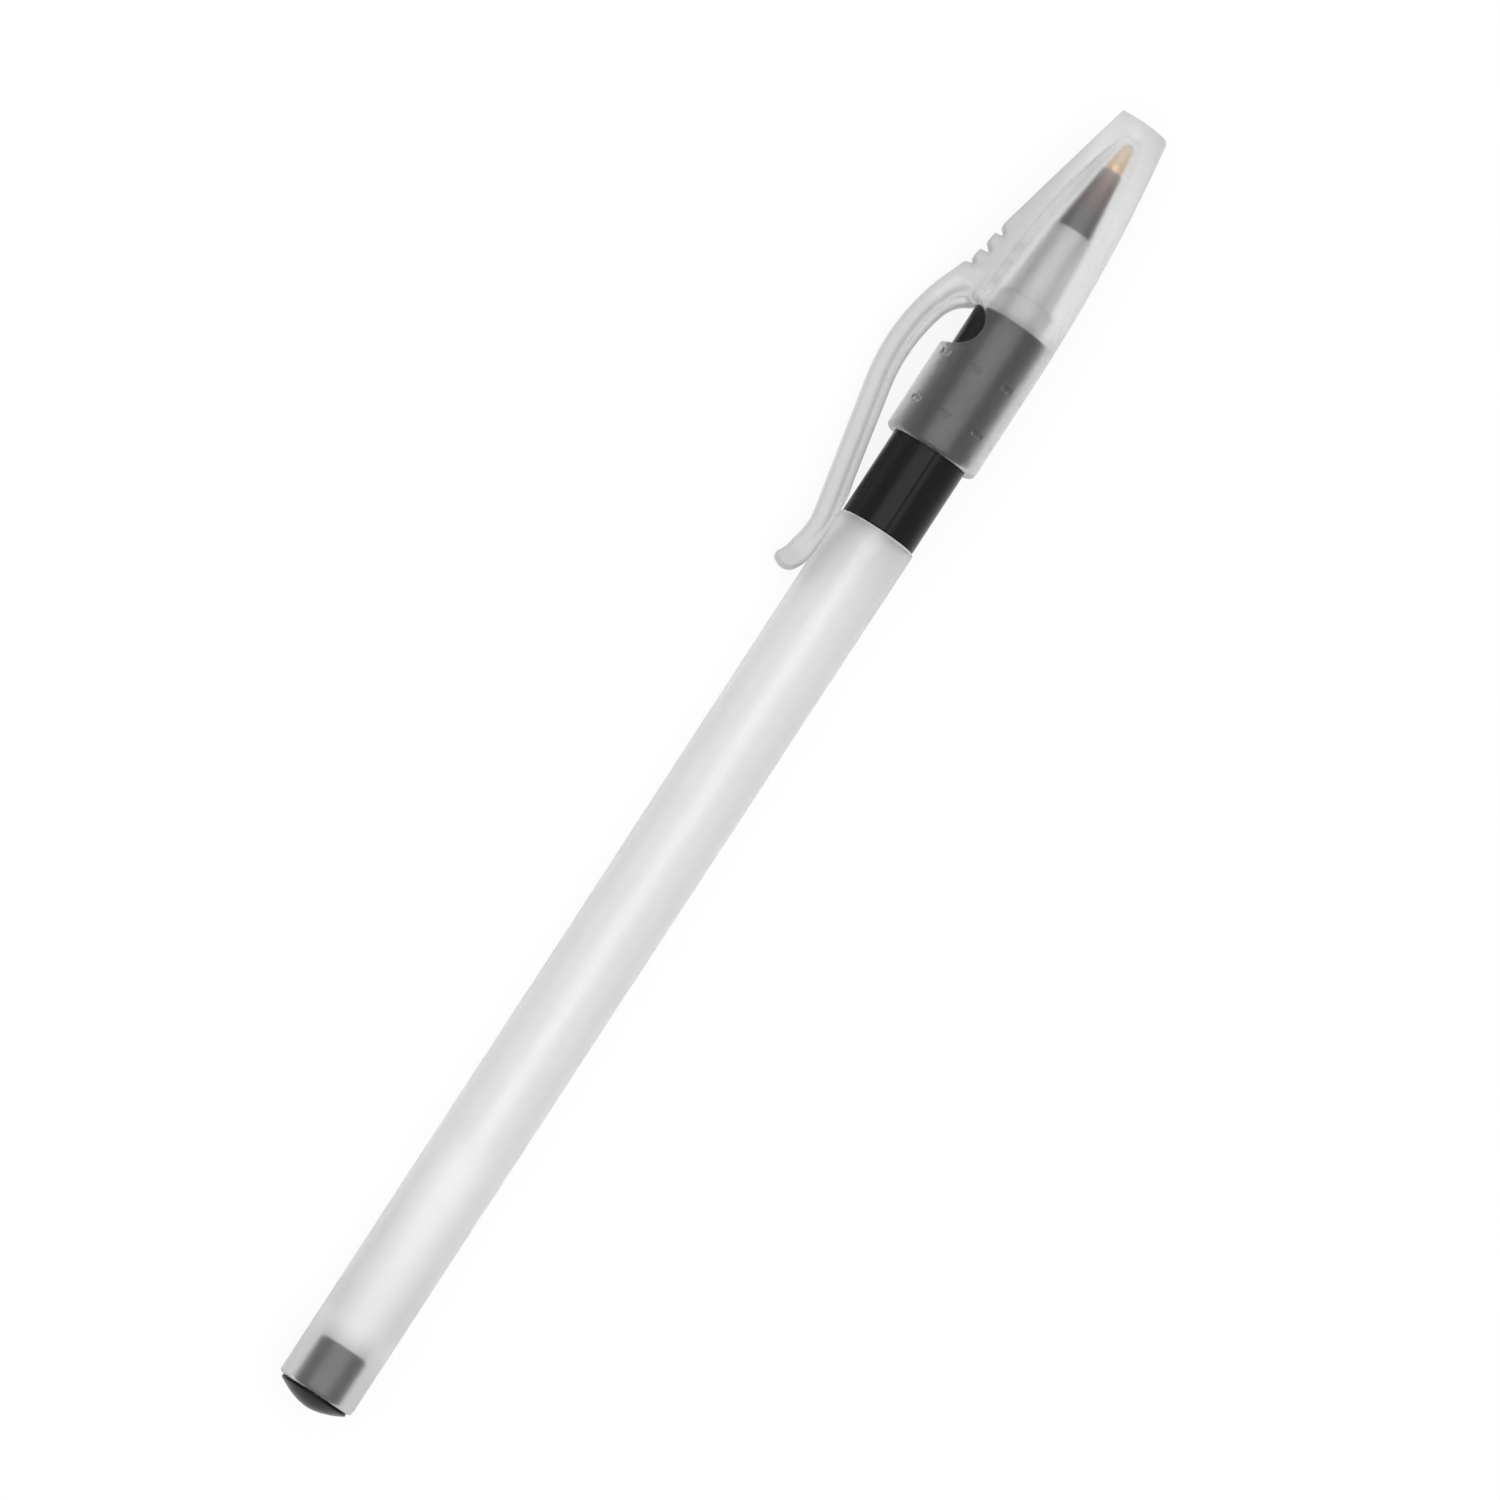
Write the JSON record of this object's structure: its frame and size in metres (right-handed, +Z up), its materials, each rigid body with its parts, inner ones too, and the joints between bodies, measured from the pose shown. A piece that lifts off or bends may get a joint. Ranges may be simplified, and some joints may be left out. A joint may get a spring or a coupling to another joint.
{
  "type": "stick ballpoint pen",
  "caption": "Capped stick ballpoint pen: frosted barrel and clip cap, black grip sleeve, end plug and tip cone, brass tip with a rolling ball. The cap pulls off and its clip springs.",
  "frame": {"origin": "on the pen's axis, at the centre of the barrel's tail face", "axes": "+X along the pen from tail to writing tip; +Z up with the pen lying on its side, rolled so that the cap's collar and the clip's lower corner share one floor; the clip points to +Y and a little down"},
  "size_m": [0.1491, 0.0146, 0.01],
  "materials": {
    "frosted_barrel": "frosted translucent polypropylene",
    "black_grip": "satin moulded elastomer",
    "black_plug": "moulded, semi-gloss",
    "refill_plastic": "extruded, milky",
    "ink": "liquid paste",
    "black_holder": "moulded, matt",
    "brass": "turned",
    "ball_metal": "lapped",
    "frosted_cap": "frosted translucent polypropylene"
  },
  "bodies": {
    "pen": {"barrel": "frosted_barrel", "grip_sleeve": "black_grip", "end_plug": "black_plug", "refill_tube": "refill_plastic", "ink_column": "ink", "tip_holder": "black_holder", "tip_socket": "brass"},
    "ball": {"writing_ball": "ball_metal"},
    "cap": {"cap": "frosted_cap"},
    "clip": {"cap_clip": "frosted_cap"}
  },
  "joints": [
    {"name": "cap_pull", "type": "slide", "parent": "pen", "child": "cap", "axis": [1, 0, 0], "range_m": [0, 0.06]},
    {"name": "clip_flex", "type": "hinge", "parent": "cap", "child": "clip", "pos_m": [0.12043, 0.00864, -0.00283], "axis": [0, -0.3109, -0.9504], "range_deg": [0, 5], "stiffness_Nm_per_rad": 0.8},
    {"name": "ball_roll", "type": "hinge", "parent": "pen", "child": "ball", "pos_m": [0.14485, 0, 0], "axis": [0, 1, 0], "continuous": true}
  ]
}
